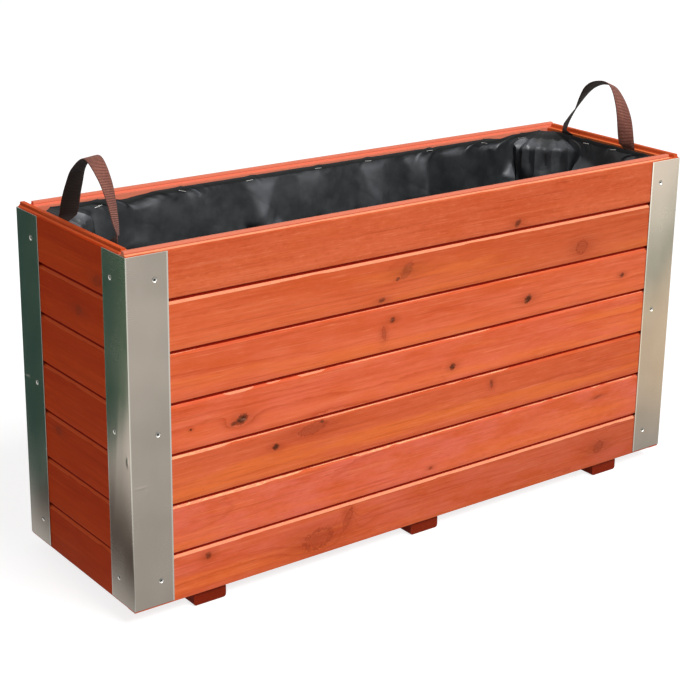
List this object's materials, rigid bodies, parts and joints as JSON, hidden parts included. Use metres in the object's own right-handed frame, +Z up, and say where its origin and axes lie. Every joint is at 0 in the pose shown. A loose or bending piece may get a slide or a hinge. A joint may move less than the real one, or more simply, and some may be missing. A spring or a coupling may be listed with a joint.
{
  "type": "rectangular wooden planter",
  "caption": "Long rectangular timber planter with tongue and groove board walls, steel corner angles, foot battens, a woven liner and webbing end handles.",
  "frame": {"origin": "on the ground under the middle of the box, between the undersides of the foot battens", "axes": "+X along the length, to the right of someone who faces the front; +Y from the front to the back; +Z up"},
  "size_m": [1.0026, 0.3026, 0.6163],
  "materials": {
    "stained_boards": "planed softwood with a translucent red-brown stain",
    "inner_timber": "rough sawn softwood, stained",
    "foot_timber": "planed softwood, dark stain",
    "corner_steel": "satin stainless sheet",
    "screw_zinc": "zinc plated screw",
    "webbing": "ribbed polyester webbing",
    "liner_cloth": "thin black woven sheet with a slight sheen"
  },
  "bodies": {
    "root": {"front_board_1": "stained_boards", "front_board_2": "stained_boards", "front_board_3": "stained_boards", "front_board_4": "stained_boards", "front_board_5": "stained_boards", "front_board_6": "stained_boards", "front_board_7": "stained_boards", "back_board_1": "stained_boards", "back_board_2": "stained_boards", "back_board_3": "stained_boards", "back_board_4": "stained_boards", "back_board_5": "stained_boards", "back_board_6": "stained_boards", "back_board_7": "stained_boards", "left_end_board_1": "stained_boards", "left_end_board_2": "stained_boards", "left_end_board_3": "stained_boards", "left_end_board_4": "stained_boards", "left_end_board_5": "stained_boards", "left_end_board_6": "stained_boards", "left_end_board_7": "stained_boards", "right_end_board_1": "stained_boards", "right_end_board_2": "stained_boards", "right_end_board_3": "stained_boards", "right_end_board_4": "stained_boards", "right_end_board_5": "stained_boards", "right_end_board_6": "stained_boards", "right_end_board_7": "stained_boards", "corner_post_front_left": "inner_timber", "corner_post_front_right": "inner_timber", "corner_post_rear_right": "inner_timber", "corner_post_rear_left": "inner_timber", "corner_angle_front_left": "corner_steel", "corner_angle_front_right": "corner_steel", "corner_angle_rear_right": "corner_steel", "corner_angle_rear_left": "corner_steel", "foot_batten_left": "foot_timber", "foot_batten_middle": "foot_timber", "foot_batten_right": "foot_timber", "foot_screw_left_front": "screw_zinc", "foot_screw_left_middle": "screw_zinc", "foot_screw_left_rear": "screw_zinc", "foot_screw_middle_front": "screw_zinc", "foot_screw_middle_middle": "screw_zinc", "foot_screw_middle_rear": "screw_zinc", "foot_screw_right_front": "screw_zinc", "foot_screw_right_middle": "screw_zinc", "foot_screw_right_rear": "screw_zinc", "floor_board_1": "inner_timber", "floor_board_2": "inner_timber", "floor_board_3": "inner_timber", "left_handle_front_tail": "webbing", "left_handle_rear_tail": "webbing", "right_handle_front_tail": "webbing", "right_handle_rear_tail": "webbing", "liner": "liner_cloth"},
    "left_handle": {"left_handle_loop": "webbing"},
    "right_handle": {"right_handle_loop": "webbing"}
  },
  "joints": [
    {"name": "left_handle_swing", "type": "hinge", "parent": "root", "child": "left_handle", "pos_m": [-0.47995, 0, 0.5238], "axis": [0, 1, 0], "range_deg": [-90, 120]},
    {"name": "right_handle_swing", "type": "hinge", "parent": "root", "child": "right_handle", "pos_m": [0.47995, 0, 0.5238], "axis": [0, -1, 0], "range_deg": [-90, 120]}
  ]
}
